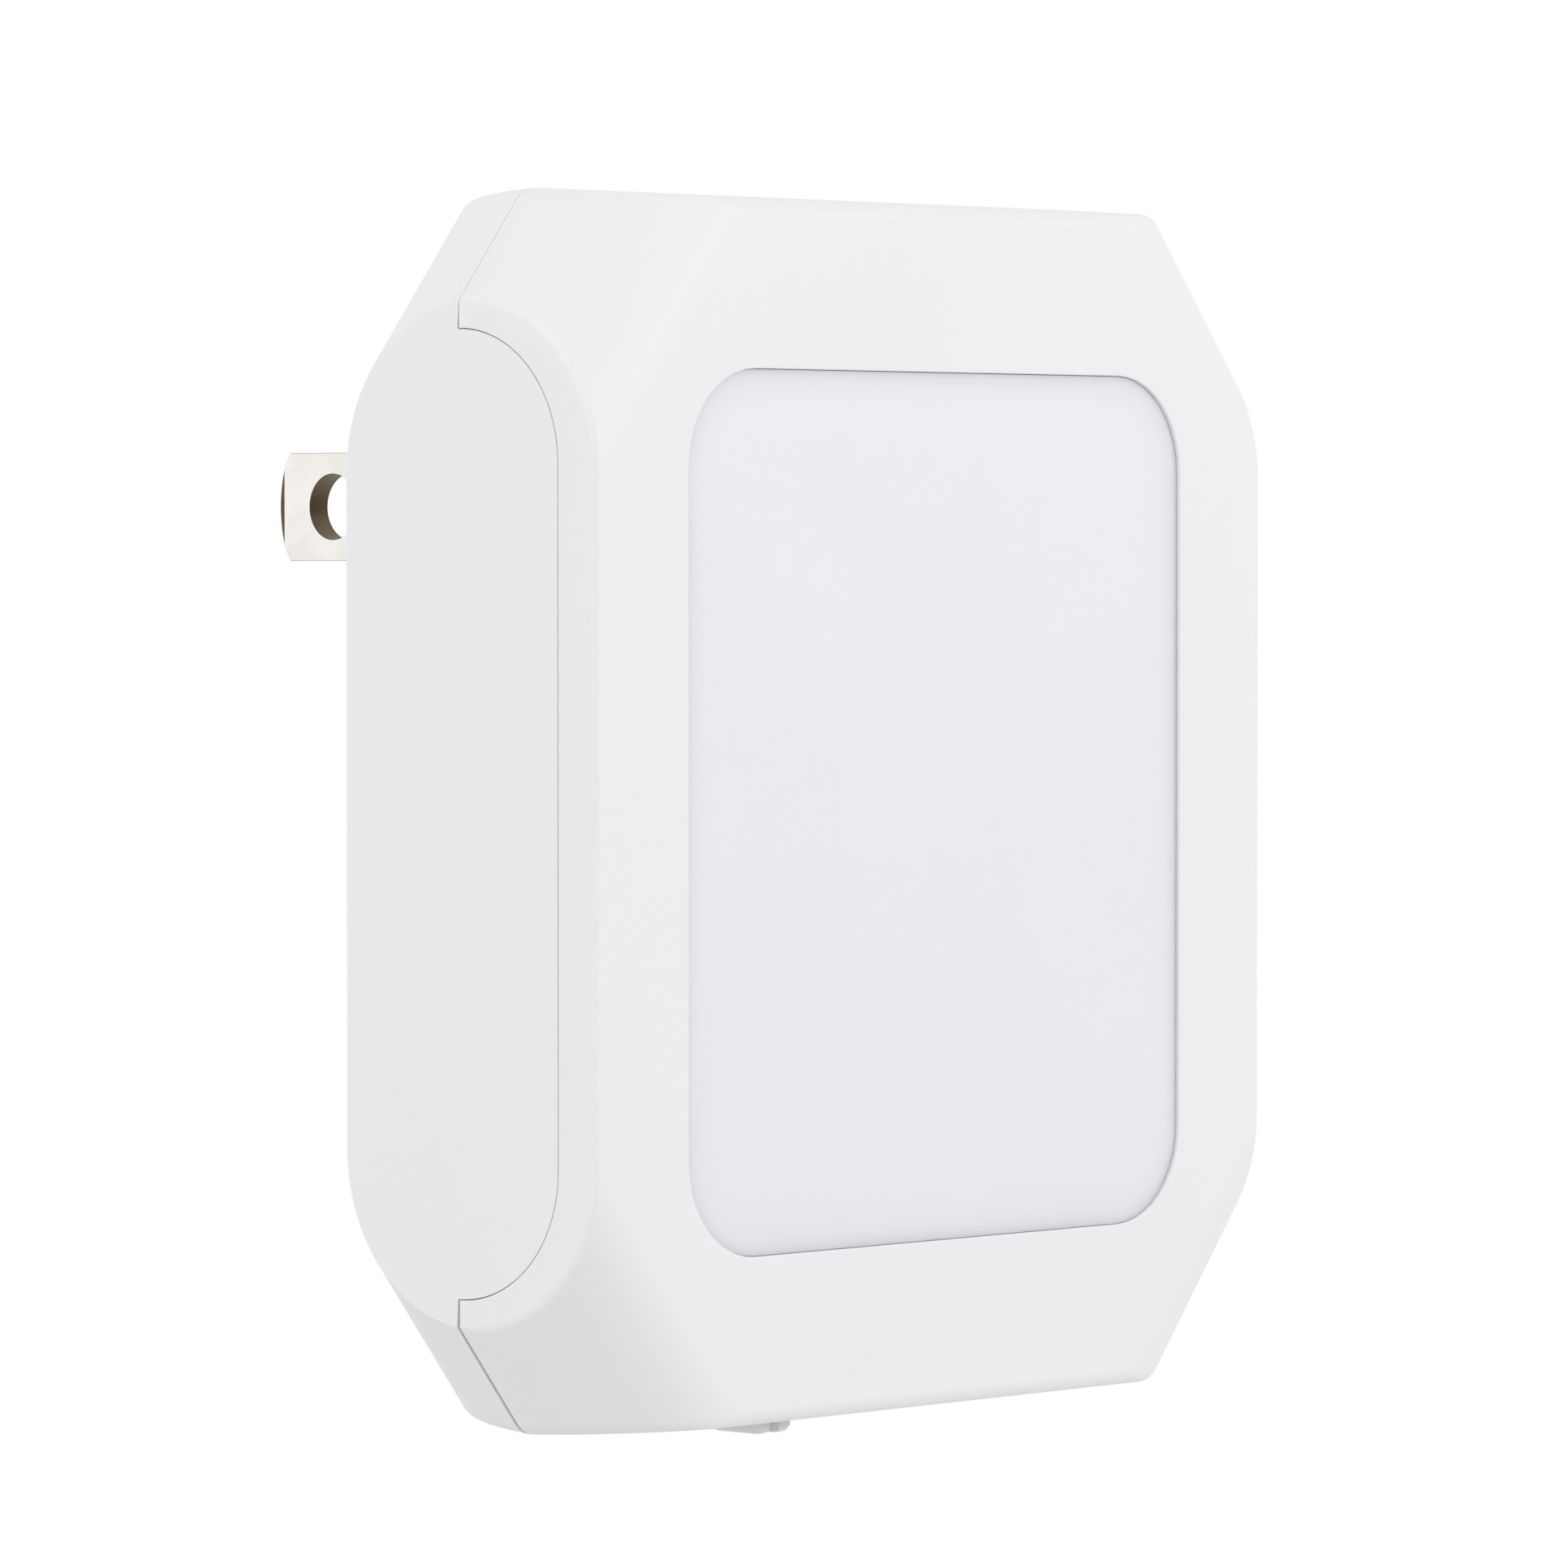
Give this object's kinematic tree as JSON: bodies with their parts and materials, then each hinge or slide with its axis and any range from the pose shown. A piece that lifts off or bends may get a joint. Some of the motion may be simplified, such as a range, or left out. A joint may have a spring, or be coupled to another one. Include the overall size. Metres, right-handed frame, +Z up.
{
  "type": "plug in night light",
  "caption": "Flat plug-in night light with cut corners, a wide frosted diffuser in front, flat plug blades behind and a slide switch underneath.",
  "frame": {"origin": "middle of the plug's rear face, between the blades, in the plane of the wall plate", "axes": "+X to the right seen from the front, +Y into the wall along the blades, +Z up"},
  "size_m": [0.057, 0.0458, 0.0707],
  "materials": {
    "shell_abs": "fine moulded satin white",
    "diffuser_acrylic": "translucent frosted bluish white",
    "tray_white": "bright reflective white",
    "board_laminate": "white solder mask on glass laminate",
    "led_package": "white moulded package",
    "led_phosphor": "yellow phosphor resin",
    "film_case": "glossy yellow resin dip",
    "can_sleeve": "dark shrink sleeve",
    "chip_epoxy": "matt black moulding compound",
    "fuse_coating": "flameproof green-grey cement coat",
    "resistor_body": "black glaze",
    "tinned_steel": "tin plated",
    "insulator_phenolic": "brown phenolic sheet",
    "knob_plastic": "moulded white",
    "contact_brass": "bare rolled brass",
    "blade_nickel": "warm nickel plate"
  },
  "bodies": {
    "case": {"front_shell": "shell_abs", "back_shell": "shell_abs", "diffuser": "diffuser_acrylic", "reflector_tray": "tray_white", "circuit_board": "board_laminate", "leds": "led_package", "led_cups": "led_phosphor", "film_capacitor": "film_case", "electrolytic_capacitor": "can_sleeve", "bridge_rectifier": "chip_epoxy", "driver_chip": "chip_epoxy", "fuse_resistor": "fuse_coating", "surface_resistors": "resistor_body", "switch_can": "tinned_steel", "switch_insulator": "insulator_phenolic", "switch_pins": "tinned_steel", "plug_insert": "shell_abs", "left_blade": "blade_nickel", "right_blade": "blade_nickel", "left_contact_strip": "contact_brass", "right_contact_strip": "contact_brass", "strip_rivets": "tinned_steel", "case_screws": "tinned_steel"},
    "switch": {"switch_knob": "knob_plastic", "switch_bridge": "contact_brass"}
  },
  "joints": [
    {"name": "switch_slide", "type": "slide", "parent": "case", "child": "switch", "axis": [1, 0, 0], "range_m": [0, 0.0015]}
  ]
}
